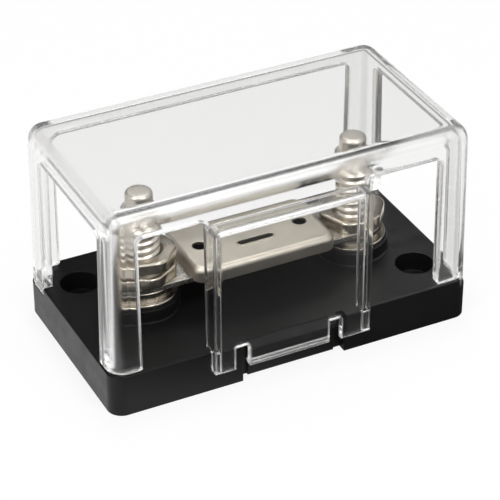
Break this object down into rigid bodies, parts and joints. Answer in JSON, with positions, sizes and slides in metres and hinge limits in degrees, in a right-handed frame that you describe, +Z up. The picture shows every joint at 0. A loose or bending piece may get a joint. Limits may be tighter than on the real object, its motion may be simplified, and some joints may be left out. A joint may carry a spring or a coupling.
{
  "type": "bolted strip fuse holder",
  "caption": "Bolt-down strip fuse holder: black base with two threaded studs, a forked strip fuse and a clear clip-on cover.",
  "frame": {"origin": "centre of the base's underside", "axes": "+X along the base from the left stud to the right one, +Y to the back, +Z up along the studs"},
  "size_m": [0.1024, 0.059, 0.0572],
  "materials": {
    "black_moulding": "fine matt moulded nylon",
    "clear_moulding": "clear polycarbonate",
    "plated_stud": "bright plated steel",
    "black_plug": "matt plastic",
    "plated_washer": "bright plated steel",
    "spring_steel": "plated spring steel",
    "plated_nut": "bright plated steel",
    "plated_link": "nickel-plated copper",
    "plated_cap": "satin nickel plate",
    "black_insulator": "matt insulating board"
  },
  "bodies": {
    "holder": {"base": "black_moulding", "left_stud": "plated_stud", "right_stud": "plated_stud", "left_stud_plug": "black_plug", "right_stud_plug": "black_plug", "left_seat_washer": "plated_washer", "right_seat_washer": "plated_washer", "left_lock_washer": "spring_steel", "right_lock_washer": "spring_steel", "left_plain_washer": "plated_washer", "right_plain_washer": "plated_washer", "left_nut": "plated_nut", "right_nut": "plated_nut", "left_upper_washer": "spring_steel", "left_upper_nut": "plated_nut", "fuse_link": "plated_link", "fuse_cap": "plated_cap", "fuse_insulator": "black_insulator", "fuse_lower_plate": "black_insulator"},
    "cover": {"cover": "clear_moulding"}
  },
  "joints": [
    {"name": "cover_lift", "type": "slide", "parent": "holder", "child": "cover", "axis": [0, 0, 1], "range_m": [0, 0.06]}
  ]
}
